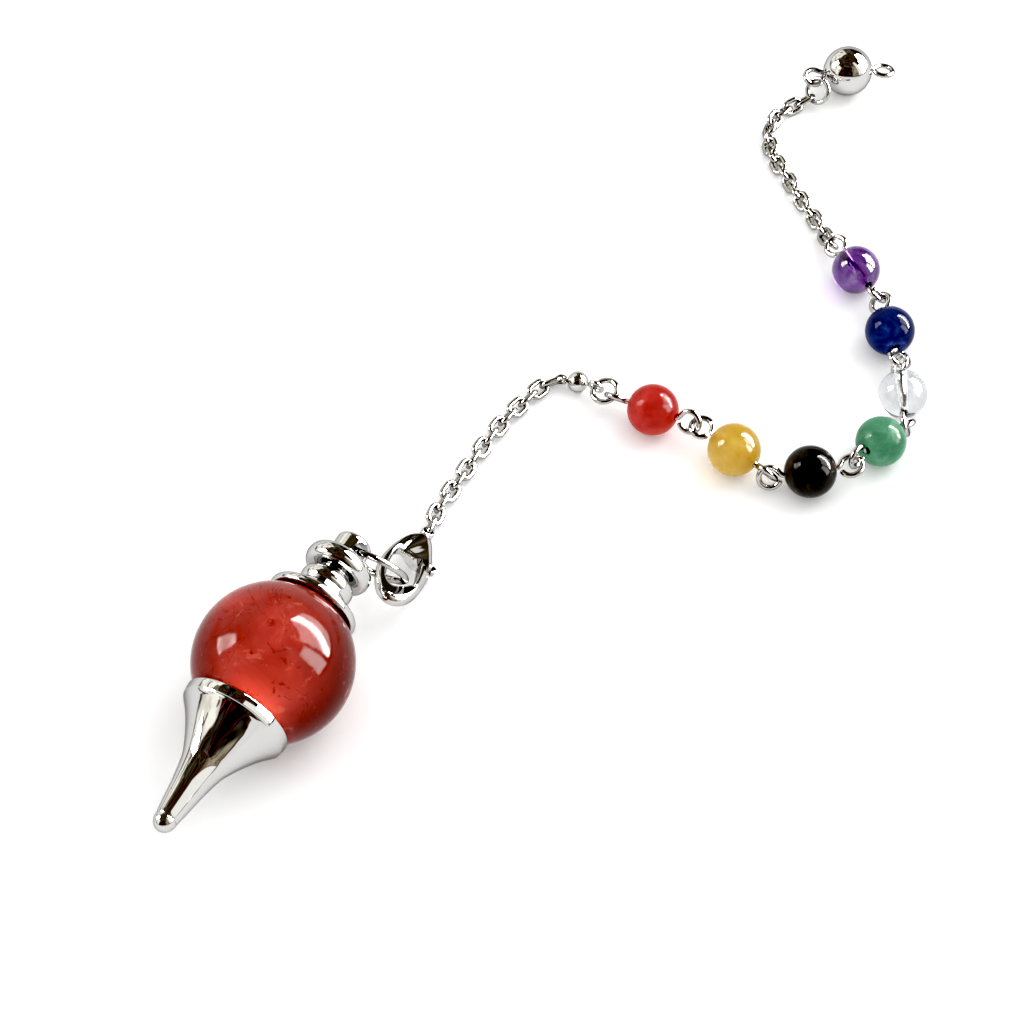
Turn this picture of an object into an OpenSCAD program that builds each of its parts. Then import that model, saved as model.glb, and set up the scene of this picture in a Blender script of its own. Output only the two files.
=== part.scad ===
// Pendulum pendant: a stone ball between a pointed plated cone and a turned cap,
// hung by a lobster clasp from a fine chain with seven stone beads on wire eye pins.
// It lies stretched out on a table: the point towards -Y, the free end towards +Y.

/* [Pendant] */
// Diameter of the large stone ball
ball_d = 17.6; // [17.4:0.1:17.8]
// Length of the cone from the ball's centre to its tip
tip_reach = 22.4; // [22.2:0.1:22.8]
// Gap between the stone and its metal seats
seat_gap = 0.05; // [0.03:0.01:0.10]
// Diameter of the cross hole in the cap's button
button_hole_d = 2.0; // [1.9:0.05:2.1]
// Wire thickness of the hang ring
hang_wire = 0.9; // [0.8:0.05:0.9]

/* [Clasp] */
// Diameter of the clasp's hinge pin
hinge_pin_d = 0.80; // [0.70:0.05:0.85]
// Radial running clearance of the lever on its pin
hinge_clearance = 0.03; // [0.02:0.01:0.05]
// Thickness of the lever's tongue between the cheeks
tongue_t = 0.9; // [0.8:0.05:0.95]
// Width of the slot that holds the tongue
slot_w = 1.1; // [1.05:0.05:1.3]

/* [Beads and pins] */
// Bore of the stone beads
bead_bore_d = 0.9; // [0.8:0.05:1.0]
// Wire thickness of the eye pins
pin_wire = 0.66; // [0.60:0.02:0.68]
// Centreline radius of the eyes
eye_r = 1.27; // [1.24:0.01:1.28]
// How far each eye is bent round, the rest is the small opening at the neck
eye_turn = 335; // [325:1:340]

/* [Chain] */
// Width of the fine chain
chain_w = 2.1; // [1.9:0.1:2.2]

/* [Hidden] */
$fn = 64;
shift = [-7.63, -14.79, 0];     // puts the row's origin under the middle of the whole

ball_r = ball_d / 2;
ball_c = [-25.4, -27.5, ball_r]; // ball centre
axis_turn = [0, 93.8, 241.8];    // turns +Z towards the cone's tip

// cone: [height from the ball's centre, radius]
cone_rows = [[7.05, 5.9], [7.25, 6.16], [8.35, 6.0], [8.5, 5.82], [8.95, 5.5], [9.6, 5.0], [10.4, 4.45],
             [11.6, 3.7], [13.0, 2.95], [14.3, 2.4], [16.7, 1.9], [19.1, 1.52], [20.6, 1.24], [20.9, 1.16]];
// cone's end: rounded bullet that starts behind a fine crease
nose_r = 1.26;
nose_from = 21.0;

// cap: [height above the ball's centre, radius]
cap_rows = [[7.55, 5.05], [7.7, 5.22], [8.05, 5.3], [8.4, 5.22], [8.62, 5.0], [8.7, 4.6], [8.72, 3.15],
            [8.85, 2.98], [9.9, 2.95], [10.1, 2.8], [10.35, 2.95], [10.7, 3.1], [11.05, 3.14], [11.4, 3.1],
            [11.75, 2.92], [12.0, 2.5], [12.1, 1.8], [12.45, 1.76], [12.5, 3.2], [12.65, 3.55], [13.0, 3.8],
            [13.6, 3.93], [14.2, 3.8], [14.6, 3.55], [14.8, 3.15], [14.86, 1.9], [15.1, 1.86], [15.16, 1.95],
            [15.35, 2.07], [17.0, 2.07], [17.25, 1.98], [17.55, 1.6], [17.75, 1.1], [17.86, 0.5], [17.9, 0]];
hole_at = [0, 0.05, -16.25];    // middle of the button's cross hole, in the pendant's own frame
hole_turn = [0, 81.6, 126.7];

hang_c = [-15.3, -13.3, 7.2];
hang_turn = [-68.3, 15.5, -19.5];
hang_r = 3.8;                    // centreline radius

// clasp frame: origin at the tail's eye, +X towards the hook's end, +Z across the plate
clasp_c = [-9.79, -4.27, 1.3];
clasp_turn = [-20.9, -16.9, -108.7];
// clasp: [outer x, outer y, inner x, inner y, half thickness], once round the opening
clasp_rows = [[0.35, 0.00, 5.35, -1.35, 0.60], [0.95, 0.72, 5.42, -1.08, 0.66], [1.90, 1.32, 5.50, -0.82, 0.80],
              [3.40, 1.90, 5.65, -0.50, 0.96], [5.30, 2.55, 6.00, -0.02, 1.05], [7.20, 2.86, 6.90, 0.72, 1.05],
              [9.30, 2.86, 8.40, 1.30, 1.02], [11.70, 2.36, 10.00, 1.20, 0.92], [13.20, 1.35, 11.00, 0.40, 0.82],
              [13.65, -0.05, 11.35, -0.40, 0.76], [12.90, -1.40, 10.85, -1.20, 0.72], [11.00, -2.45, 9.80, -1.62, 0.70],
              [8.60, -2.98, 8.20, -1.95, 0.70], [6.20, -2.85, 6.50, -2.02, 0.75], [4.00, -2.35, 5.60, -1.92, 0.84],
              [2.00, -1.55, 5.42, -1.76, 0.78], [0.95, -0.78, 5.36, -1.58, 0.66]];
edge_round = 0.32;               // rounding of the clasp's edges
pivot = [5.5, 2.1];
gate_tip_x = 10.15;
hook_end_x = 10.3;

// chains: centreline route on the table
chain_low = [[-10.1, -2.9], [-8.3, 0.1], [-6.35, 3.7], [-4.6, 7.0], [-2.8, 10.1], [-0.7, 13.5], [1.6, 16.3], [3.0, 17.9], [4.3, 18.9]];
chain_up = [[38.3, 69.3], [36.9, 68.4], [35.7, 67.2], [34.6, 65.1], [34.2, 62.9], [34.3, 60.9], [34.9, 58.3], [36.1, 55.2],
            [37.2, 52.1], [38.3, 49.3], [39.4, 46.8], [40.4, 43.2]];

stop_c = [8.0, 19.15, 1.3];
stop_d = 2.56;
link_c = [11.2, 16.7, 2.4];
link_turn = [8.6, -15.4, 0];
link_r = 1.52;
link_wire = 0.64;

// beads: [x, y, yaw and pitch of the bore, turn of the first and the second eye, diameter]
bead_rows = [[16.80, 13.10, -28, 5, 52, -63, 6.2],
             [26.10, 6.85, -41, -4, -11, 60, 6.3],
             [34.80, 3.55, 1, 12, -61, -10, 6.2],
             [43.50, 8.25, 46, -14, -80, 51, 6.0],
             [46.85, 15.75, 88, 1, -70, 61, 5.9],
             [46.35, 26.00, 98, -1, -26, 37, 6.1],
             [43.15, 36.45, 117, 0, -43, 32, 6.0]];

end_ring_c = [41.2, 70.45, 2.6];
end_ring_turn = [38.4, -50.6, 0];
end_ring_r = 1.6;
end_ring_wire = 0.6;
end_ball_d = 6.6;
end_ball_c = [45.42, 73.64, 3.3];
end_pin_yaw = 12;
end_pin_pitch = -5;
end_eye_r = 1.22;
end_eye_turns = [-15, 7];
end_eye_off = 0.60;              // the end pin's eyes are bent to one side of the wire

steel = [0.80, 0.80, 0.82];

// a route smoothed through its points, n steps a span
function spline(a, b, c, d, t) =
    0.5 * ((2 * b) + (c - a) * t + (2 * a - 5 * b + 4 * c - d) * t * t + (3 * b - a - 3 * c + d) * t * t * t);
function smooth_open(p, n) = let (m = len(p) - 1)
    [for (i = [0 : m - 1]) for (k = [0 : n - 1])
        spline(p[max(0, i - 1)], p[i], p[i + 1], p[min(m, i + 2)], k / n), p[m]];
function smooth_ring(p, n) = let (m = len(p))
    [for (i = [0 : m - 1]) for (k = [0 : n - 1])
        spline(p[(i + m - 1) % m], p[i], p[(i + 1) % m], p[(i + 2) % m], k / n)];
function unit(v) = v / norm(v);

// skin of a closed or open run of rings that all have m points
function ring_faces(rings, m, closed) = concat(
    [for (i = [0 : rings - (closed ? 1 : 2)]) for (j = [0 : m - 1])
        let (a = i * m, b = ((i + 1) % rings) * m, k = (j + 1) % m)
        each [[a + j, b + j, b + k], [a + j, b + k, a + k]]],
    closed ? [] : [[for (j = [0 : m - 1]) j], [for (j = [m - 1 : -1 : 0]) (rings - 1) * m + j]]);

// tube on a level route
module tube(route, r, z, sides = 8) {
    p = smooth_open(route, 2);
    m = len(p) - 1;
    pts = [for (i = [0 : m])
        let (t = unit(p[min(m, i + 1)] - p[max(0, i - 1)]), s = [-t[1], t[0]])
        for (k = [0 : sides - 1])
            let (w = 360 * (k + 0.5) / sides)
            [p[i][0] + s[0] * r * cos(w), p[i][1] + s[1] * r * cos(w), z + r * sin(w)]];
    polyhedron(points = pts, faces = ring_faces(m + 1, sides, false));
}

module torus(r, wire, turn = 360) rotate_extrude(angle = turn) translate([r, 0]) circle(d = wire);

module on_table() translate(shift) children();
module on_axis() on_table() translate(ball_c) rotate(axis_turn) children();
module on_clasp() on_table() translate(clasp_c) rotate(clasp_turn) children();

module stone_ball() color([0.75, 0.10, 0.05]) on_axis() sphere(r = ball_r);

module point_cone() color(steel) on_axis() difference() {
    union() {
        rotate_extrude() polygon(concat([[0, cone_rows[0][0]]], [for (q = cone_rows) [q[1], q[0]]], [[0, cone_rows[len(cone_rows) - 1][0]]]));
        rotate_extrude() polygon(concat([[0, nose_from - 0.3], [nose_r - 0.12, nose_from - 0.1], [nose_r - 0.12, nose_from]],
            [for (w = [0 : 10 : 90]) [nose_r * cos(w), nose_from + 0.12 + (tip_reach - nose_from - 0.12) * sin(w)]]));
    }
    sphere(r = ball_r + seat_gap);
}

module top_cap() color(steel) on_axis() difference() {
    mirror([0, 0, 1]) rotate_extrude() polygon(concat([[0, cap_rows[0][0]]], [for (q = cap_rows) [q[1], q[0]]]));
    sphere(r = ball_r + seat_gap);
    translate(hole_at) rotate(hole_turn) cylinder(d = button_hole_d, h = 8, center = true);
}

module hang_ring() color(steel) on_table() translate(hang_c) rotate(hang_turn) torus(hang_r, hang_wire);

// rounded section of the clasp between its inner and outer outline
function clasp_section(q) =
    let (o = [q[0], q[1]], n = [q[2], q[3]], h = q[4], w = norm(o - n), d = (o - n) / w, e = edge_round)
    [for (c = [[w - e, h - e, 0], [e, h - e, 90], [e, e - h, 180], [w - e, e - h, 270]]) for (a = [0, 30, 60, 90])
        let (s = c[0] + e * cos(c[2] + a), z = c[1] + e * sin(c[2] + a))
        [n[0] + d[0] * s, n[1] + d[1] * s, z]];

module clasp_plate() {
    rows = smooth_ring(clasp_rows, 3);
    polyhedron(points = [for (q = rows) each clasp_section(q)], faces = ring_faces(len(rows), 16, true));
}

module clasp_body() color(steel) on_clasp() {
    difference() {
        union() {
            clasp_plate();
            cylinder(r = 0.80, h = 1.1, center = true);
        }
        cylinder(r = 0.46, h = 4, center = true);
        translate([4.4, 0.9, -slot_w / 2]) cube([4, 4, slot_w]);
        translate([6.35, 0.3, -2]) cube([hook_end_x - 6.35, 4, 4]);
    }
    translate([pivot[0], pivot[1], 0]) cylinder(d = hinge_pin_d, h = 1.9, center = true);
}

module clasp_lever() color(steel) on_clasp() difference() {
    union() {
        translate([pivot[0], pivot[1], 0]) cylinder(r = 0.75, h = tongue_t, center = true);
        translate([5.2, 2.85, 0]) cylinder(r = 0.42, h = tongue_t, center = true);
        translate([5.5, 1.7, -tongue_t / 2]) cube([1.6, 1.1, tongue_t]);
        translate([6.75, 1.7, -0.62]) cube([gate_tip_x - 6.75 - 0.5, 1.1, 1.24]);
        translate([gate_tip_x - 0.55, 2.25, 0]) cylinder(r = 0.55, h = 1.24, center = true);
    }
    translate([pivot[0], pivot[1], 0]) cylinder(r = hinge_pin_d / 2 + hinge_clearance, h = 4, center = true);
}

module chain_lower() color(steel) on_table() tube(chain_low, chain_w / 2, chain_w / 2);
module chain_upper() color(steel) on_table() tube(chain_up, chain_w / 2, chain_w / 2);

module stop_bead() color(steel) on_table() translate(stop_c) {
    sphere(d = stop_d);
    // long eye through the link ring
    rotate([0, -17, -34]) {
        rotate([0, 90, 0]) cylinder(d = 0.52, h = 1.95);
        translate([2.7, 0, 0]) rotate([-77, 0, 0]) torus(0.82, 0.52);
    }
    // short eye that takes the chain's last link
    rotate([0, 4, 168]) {
        rotate([0, 90, 0]) cylinder(d = 0.52, h = 1.6);
        translate([2.1, 0, 0]) torus(0.6, 0.52);
    }
}

module link_ring() color(steel) on_table() translate(link_c) rotate(link_turn) torus(link_r, link_wire);

module on_bead(q) on_table() translate([q[0], q[1], q[6] / 2]) rotate([0, -q[3], q[2]]) children();

// drilled ball with its bore along X
module drilled(d) rotate([0, 90, 0]) difference() {
    sphere(d = d);
    cylinder(d = bead_bore_d, h = d + 4, center = true);
}
module bead(i) on_bead(bead_rows[i]) drilled(bead_rows[i][6]);

// straight wire with an eye at both ends, the wire's end stops just short of the neck
module pin_shape(d, r, turns, off = 0) {
    reach = d / 2 + 0.08 + pin_wire / 2 + r;
    neck = reach - sqrt(r * r - off * off);
    rotate([0, 90, 0]) cylinder(d = pin_wire, h = 2 * neck, center = true);
    rotate([-turns[0], 0, 0]) translate([-reach, -off, 0]) rotate([0, 0, asin(off / r)]) torus(r, pin_wire, eye_turn);
    rotate([-turns[1], 0, 0]) translate([reach, -off, 0]) rotate([0, 0, 180 - asin(off / r)]) mirror([0, 1, 0]) torus(r, pin_wire, eye_turn);
}
module pin(i) on_bead(bead_rows[i]) pin_shape(bead_rows[i][6], eye_r, [bead_rows[i][4], bead_rows[i][5]]);

module bead_red() color([0.72, 0.05, 0.05]) bead(0);
module bead_yellow() color([0.85, 0.65, 0.10]) bead(1);
module bead_black() color([0.04, 0.04, 0.04]) bead(2);
module bead_green() color([0.20, 0.45, 0.28]) bead(3);
module bead_clear() color([0.85, 0.88, 0.90]) bead(4);
module bead_blue() color([0.06, 0.09, 0.30]) bead(5);
module bead_purple() color([0.36, 0.16, 0.48]) bead(6);

module pin_red() color(steel) pin(0);
module pin_yellow() color(steel) pin(1);
module pin_black() color(steel) pin(2);
module pin_green() color(steel) pin(3);
module pin_clear() color(steel) pin(4);
module pin_blue() color(steel) pin(5);
module pin_purple() color(steel) pin(6);

module end_ring() color(steel) on_table() translate(end_ring_c) rotate(end_ring_turn) torus(end_ring_r, end_ring_wire);

module on_end() on_table() translate(end_ball_c) rotate([0, -end_pin_pitch, end_pin_yaw]) children();

module end_ball() color(steel) on_end() drilled(end_ball_d);

module end_pin() color(steel) on_end() pin_shape(end_ball_d, end_eye_r, end_eye_turns, end_eye_off);

stone_ball();
point_cone();
top_cap();
hang_ring();
clasp_body();
clasp_lever();
chain_lower();
stop_bead();
link_ring();
bead_red();
bead_yellow();
bead_black();
bead_green();
bead_clear();
bead_blue();
bead_purple();
pin_red();
pin_yellow();
pin_black();
pin_green();
pin_clear();
pin_blue();
pin_purple();
chain_upper();
end_ring();
end_ball();
end_pin();
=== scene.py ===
# Visual model of the pendulum pendant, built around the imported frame.
# Lengths are in millimetres in the drawing's own plan (see SHIFT) and turned into metres in place().
import bpy
import bmesh
import math
import random
import numpy as np
from mathutils import Matrix, Vector, Euler


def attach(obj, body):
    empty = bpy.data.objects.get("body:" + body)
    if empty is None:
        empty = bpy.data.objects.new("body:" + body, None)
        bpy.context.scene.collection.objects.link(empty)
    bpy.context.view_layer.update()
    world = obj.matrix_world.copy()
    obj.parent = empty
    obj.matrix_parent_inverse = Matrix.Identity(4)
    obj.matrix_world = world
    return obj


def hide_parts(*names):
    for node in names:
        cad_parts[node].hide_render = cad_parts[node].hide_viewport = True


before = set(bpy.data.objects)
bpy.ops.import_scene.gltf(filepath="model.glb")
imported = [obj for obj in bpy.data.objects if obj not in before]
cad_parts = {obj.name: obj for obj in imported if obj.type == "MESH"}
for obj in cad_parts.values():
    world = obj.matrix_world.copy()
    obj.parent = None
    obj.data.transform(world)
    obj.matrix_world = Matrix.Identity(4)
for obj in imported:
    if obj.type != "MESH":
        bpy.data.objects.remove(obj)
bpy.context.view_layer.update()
random.seed(7)

MM = 0.001
SHIFT = Vector((-7.63, -14.79, 0.0))


# ---------------------------------------------------------------- helpers: places and meshes
def turn(rx, ry, rz):
    return Euler((math.radians(rx), math.radians(ry), math.radians(rz)), "XYZ").to_matrix().to_4x4()


def place(c, t=(0, 0, 0)):
    return Matrix.Translation((Vector(c) + SHIFT) * MM) @ turn(*t)


def volume(v, f):
    s = 0.0
    for q in f:
        a = v[q[0]]
        for k in range(1, len(q) - 1):
            s += np.dot(a, np.cross(v[q[k]], v[q[k + 1]]))
    return s


def mesh_from(name, v, f, sharp=None):
    v = np.asarray(v, float)
    if volume(v, f) < 0:
        f = [list(reversed(q)) for q in f]
    me = bpy.data.meshes.new(name)
    me.from_pydata([tuple(p) for p in v * MM], [], [list(q) for q in f])
    me.validate()
    me.polygons.foreach_set("use_smooth", [True] * len(me.polygons))
    if sharp:
        me.set_sharp_from_angle(angle=math.radians(sharp))
    me.update()
    return me


def obj_from(name, v, f, m, sharp=None):
    """An object whose own axes are the frame's, so its place is in its vertices."""
    me = mesh_from(name, v, f, sharp)
    me.transform(m)
    o = bpy.data.objects.new(name, me)
    bpy.context.scene.collection.objects.link(o)
    return o


def join_shells(parts):
    v, f, n = [], [], 0
    for a, b in parts:
        a = np.asarray(a, float)
        if volume(a, b) < 0:
            b = [list(reversed(q)) for q in b]
        v.append(a)
        f += [[i + n for i in q] for q in b]
        n += len(a)
    return np.vstack(v), f


def bool_op(o, tools, op="DIFFERENCE", sharp=30, own=False):
    for t in tools:
        m = o.modifiers.new("b", "BOOLEAN")
        m.operation, m.solver, m.object, m.use_self = op, "EXACT", t, own
    dg = bpy.context.evaluated_depsgraph_get()
    me = bpy.data.meshes.new_from_object(o.evaluated_get(dg))
    o.modifiers.clear()
    o.data = me
    for t in tools:
        bpy.data.objects.remove(t, do_unlink=True)
    bm = bmesh.new()
    bm.from_mesh(me)
    bmesh.ops.remove_doubles(bm, verts=bm.verts, dist=2e-7)
    bmesh.ops.dissolve_degenerate(bm, edges=bm.edges, dist=2e-7)
    bm.to_mesh(me)
    bm.free()
    me.polygons.foreach_set("use_smooth", [True] * len(me.polygons))
    me.set_sharp_from_angle(angle=math.radians(sharp))
    me.update()
    return o


# ---------------------------------------------------------------- helpers: curves and bodies
def spline(p, n=8, closed=False):
    p = [np.asarray(q, float) for q in p]
    m = len(p)
    out = []
    for i in range(m if closed else m - 1):
        if closed:
            a, b, c, d = p[(i - 1) % m], p[i], p[(i + 1) % m], p[(i + 2) % m]
        else:
            a, b, c, d = p[max(0, i - 1)], p[i], p[i + 1], p[min(m - 1, i + 2)]
        for k in range(n):
            t = k / n
            out.append(0.5 * (2 * b + (c - a) * t + (2 * a - 5 * b + 4 * c - d) * t * t + (3 * b - a - 3 * c + d) * t ** 3))
    if not closed:
        out.append(p[-1])
    return out


def cut_end(line, f):
    """The polyline without its last stretch of length f."""
    line = [np.asarray(q, float) for q in line]
    left = f
    while len(line) > 1:
        s = np.linalg.norm(line[-1] - line[-2])
        if s > left + 1e-9:
            line[-1] = line[-1] + (line[-2] - line[-1]) * left / s
            return line
        left -= s
        line.pop()
    return line


def outline(runs, rounds, n=5):
    """Runs joined end to end, each corner rounded over the length given for it."""
    out = []
    for i, r in enumerate(runs):
        r = [np.asarray(q, float) for q in r]
        corner = r[-1].copy()
        if i > 0:
            r = cut_end(r[::-1], rounds[i - 1])[::-1]
            a, b, c = out[-1], np.asarray(runs[i][0], float), r[0]
            for k in range(1, n):
                t = k / n
                out.append((1 - t) ** 2 * a + 2 * t * (1 - t) * b + t * t * c)
        if i < len(runs) - 1:
            r = cut_end(r, rounds[i])
        out += r
    return out


def lathe(profile, seg=128, closed=False, flip=1):
    """Profile of [height, radius] turned round Z."""
    v, f, rows = [], [], []
    ang = [2 * math.pi * k / seg for k in range(seg)]
    for h, r in profile:
        if r < 1e-6:
            rows.append([len(v)])
            v.append((0, 0, flip * h))
        else:
            rows.append(list(range(len(v), len(v) + seg)))
            v += [(r * math.cos(a), r * math.sin(a), flip * h) for a in ang]
    pairs = list(zip(rows, rows[1:] + rows[:1])) if closed else list(zip(rows, rows[1:]))
    for a, b in pairs:
        for k in range(seg):
            k2 = (k + 1) % seg
            if len(a) == 1 and len(b) == 1:
                continue
            if len(a) == 1:
                f.append([a[0], b[k2], b[k]])
            elif len(b) == 1:
                f.append([a[k], a[k2], b[0]])
            else:
                f.append([a[k], a[k2], b[k2], b[k]])
    return np.array(v), f


def wire(path, r, sides=16, closed=False, bevel=0.25):
    """A round wire along a path, with its cut ends lightly bevelled."""
    p = np.array(path, float)
    n = len(p)
    if closed:
        t = np.roll(p, -1, 0) - np.roll(p, 1, 0)
    else:
        t = np.gradient(p, axis=0)
    t /= np.linalg.norm(t, axis=1)[:, None]
    a = np.cross(t[0], [0, 0, 1.0])
    if np.linalg.norm(a) < 0.1:
        a = np.cross(t[0], [0, 1.0, 0])
    a /= np.linalg.norm(a)
    frames = [a]
    for i in range(1, n):
        a = frames[-1] - t[i] * np.dot(frames[-1], t[i])
        frames.append(a / np.linalg.norm(a))
    twist = 0.0
    if closed:
        a = frames[-1] - t[0] * np.dot(frames[-1], t[0])
        a /= np.linalg.norm(a)
        b0 = np.cross(t[0], frames[0])
        twist = -math.atan2(np.dot(a, b0), np.dot(a, frames[0]))
    rings = []
    for i in range(n):
        b = np.cross(t[i], frames[i])
        tw = twist * i / n
        rings.append((p[i], frames[i], b, r, tw))
    if not closed:
        q = bevel * r
        rings = [(p[0] - t[0] * 0.0, rings[0][1], rings[0][2], r - q, 0)] + \
                [(p[0] + t[0] * q, rings[0][1], rings[0][2], r, 0)] + rings[1:-1] + \
                [(p[-1] - t[-1] * q, rings[-1][1], rings[-1][2], r, 0), (p[-1], rings[-1][1], rings[-1][2], r - q, 0)]
    v, f = [], []
    for c, x, y, rr, tw in rings:
        for k in range(sides):
            w = 2 * math.pi * k / sides + tw
            v.append(c + rr * (math.cos(w) * x + math.sin(w) * y))
    m = len(rings)
    for i in range(m if closed else m - 1):
        j = (i + 1) % m
        for k in range(sides):
            k2 = (k + 1) % sides
            f.append([i * sides + k, i * sides + k2, j * sides + k2, j * sides + k])
    if not closed:
        f.append([k for k in reversed(range(sides))])
        f.append([(m - 1) * sides + k for k in range(sides)])
    return np.array(v), f


def ring_wire(r, d, gap=0.05, seam=0.0, n=96, sides=20):
    """A jump ring in the XY plane with its fine saw cut at the angle seam."""
    g = gap / r
    ang = np.linspace(math.radians(seam) + g / 2, math.radians(seam) + 2 * math.pi - g / 2, n)
    return wire([(r * math.cos(a), r * math.sin(a), 0) for a in ang], d / 2, sides, False, 0.12)


def prism(points, z0, z1):
    n = len(points)
    v = [(p[0], p[1], z0) for p in points] + [(p[0], p[1], z1) for p in points]
    f = [list(reversed(range(n))), [n + k for k in range(n)]]
    f += [[k, (k + 1) % n, n + (k + 1) % n, n + k] for k in range(n)]
    return np.array(v, float), f


def box_tool(name, lo, hi, m):
    v, f = prism([(lo[0], lo[1]), (hi[0], lo[1]), (hi[0], hi[1]), (lo[0], hi[1])], lo[2], hi[2])
    return obj_from(name, v, f, m)


def bevelled(o, width, segments=3, angle=35):
    m = o.modifiers.new("bevel", "BEVEL")
    m.width, m.segments, m.limit_method, m.angle_limit = width * MM, segments, "ANGLE", math.radians(angle)
    m.harden_normals = False
    dg = bpy.context.evaluated_depsgraph_get()
    me = bpy.data.meshes.new_from_object(o.evaluated_get(dg))
    o.modifiers.clear()
    o.data = me
    me.polygons.foreach_set("use_smooth", [True] * len(me.polygons))
    me.set_sharp_from_angle(angle=math.radians(40))
    return o


# ---------------------------------------------------------------- helpers: shader nodes
class Tree:
    """Short names for node building."""

    def __init__(self, nt):
        self.nt = nt
        nt.nodes.clear()

    def new(self, kind, **props):
        n = self.nt.nodes.new(kind)
        for k, val in props.items():
            setattr(n, k, val)
        return n

    def put(self, socket, val):
        if isinstance(val, bpy.types.NodeSocket):
            self.nt.links.new(val, socket)
        elif val is not None:
            socket.default_value = val

    def math(self, op, a, b=None, c=None, clamp=False):
        n = self.new("ShaderNodeMath", operation=op, use_clamp=clamp)
        for s, val in zip(n.inputs, (a, b, c)):
            self.put(s, val)
        return n.outputs[0]

    def step(self, x, lo, hi, a=0.0, b=1.0):
        """Smooth rise from a to b while x goes from lo to hi."""
        n = self.new("ShaderNodeMapRange", interpolation_type="SMOOTHSTEP")
        for s, val in zip(list(n.inputs)[:5], (x, lo, hi, a, b)):
            self.put(s, val)
        return n.outputs[0]

    def noise(self, vec, scale, detail=3.0, rough=0.5, distort=0.0):
        n = self.new("ShaderNodeTexNoise")
        self.put(n.inputs["Vector"], vec)
        n.inputs["Scale"].default_value = scale
        n.inputs["Detail"].default_value = detail
        n.inputs["Roughness"].default_value = rough
        n.inputs["Distortion"].default_value = distort
        return n.outputs["Fac"], n.outputs["Color"]

    def ramp(self, fac, stops, mode="LINEAR"):
        n = self.new("ShaderNodeValToRGB")
        n.color_ramp.interpolation = mode
        e = n.color_ramp.elements
        while len(e) < len(stops):
            e.new(0.5)
        for s, (pos, col) in zip(e, stops):
            s.position = pos
            s.color = tuple(col) + ((1.0,) if len(col) == 3 else ())
        self.put(n.inputs[0], fac)
        return n.outputs[0]

    def mix(self, fac, a, b, mode="MIX"):
        n = self.new("ShaderNodeMix", data_type="RGBA", blend_type=mode)
        self.put(n.inputs[0], fac)
        for s, val in ((n.inputs[6], a), (n.inputs[7], b)):
            self.put(s, tuple(val) + (1.0,) if isinstance(val, (tuple, list)) and len(val) == 3 else val)
        return n.outputs[2]

    def dot(self, vec, d):
        n = self.new("ShaderNodeVectorMath", operation="DOT_PRODUCT")
        self.put(n.inputs[0], vec)
        n.inputs[1].default_value = tuple(d)
        return n.outputs["Value"]

    def bump(self, height, strength, distance):
        n = self.new("ShaderNodeBump")
        n.inputs["Strength"].default_value = strength
        n.inputs["Distance"].default_value = distance
        self.put(n.inputs["Height"], height)
        return n.outputs[0]

    def coords(self, kind="Object"):
        return self.new("ShaderNodeTexCoord").outputs[kind]


def material(name):
    m = bpy.data.materials.new(name)
    m.use_nodes = True
    return m, Tree(m.node_tree)


def principled(t):
    b = t.new("ShaderNodeBsdfPrincipled")
    o = t.new("ShaderNodeOutputMaterial")
    t.nt.links.new(b.outputs[0], o.inputs["Surface"])
    return b


def chrome(name, base=(0.84, 0.84, 0.85), rough=(0.02, 0.07), wave=0.10, wave_scale=350.0, grime=0.10, edge=0.35):
    """Bright plating: faint waviness, fine polishing marks, a breath of dullness here and there."""
    m, t = material(name)
    b = principled(t)
    p = t.coords()
    big, _ = t.noise(p, wave_scale, 2.0, 0.5)
    fine, _ = t.noise(p, 9000.0, 2.0, 0.6)
    patch, _ = t.noise(p, 700.0, 5.0, 0.6, 0.4)
    b.inputs["Metallic"].default_value = 1.0
    b.inputs["Specular Tint"].default_value = (edge, edge * 0.97, edge * 0.93, 1.0)
    dull = t.step(patch, 0.52, 0.72)
    pit = t.new("ShaderNodeTexVoronoi")
    t.put(pit.inputs["Vector"], p)
    pit.inputs["Scale"].default_value = 520.0
    pits = t.math("MULTIPLY", t.step(pit.outputs["Distance"], 0.035, 0.06, 1.0, 0.0), t.step(patch, 0.50, 0.56))
    plain = t.mix(t.math("MULTIPLY", dull, grime), base, tuple(c * 0.72 for c in base))
    t.put(b.inputs["Base Color"], t.mix(t.math("MULTIPLY", pits, 0.55), plain, (0.10, 0.09, 0.085)))
    r = t.math("ADD", t.math("MULTIPLY", fine, (rough[1] - rough[0]) * 0.6), rough[0])
    t.put(b.inputs["Roughness"], t.math("ADD", r, t.math("MULTIPLY", dull, (rough[1] - rough[0]))))
    n1 = t.bump(big, wave, 0.00006)
    n2 = t.new("ShaderNodeBump")
    n2.inputs["Strength"].default_value = 0.05
    n2.inputs["Distance"].default_value = 0.000002
    t.put(n2.inputs["Height"], fine)
    t.put(n2.inputs["Normal"], n1)
    t.put(b.inputs["Normal"], n2.outputs[0])
    return m


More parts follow.
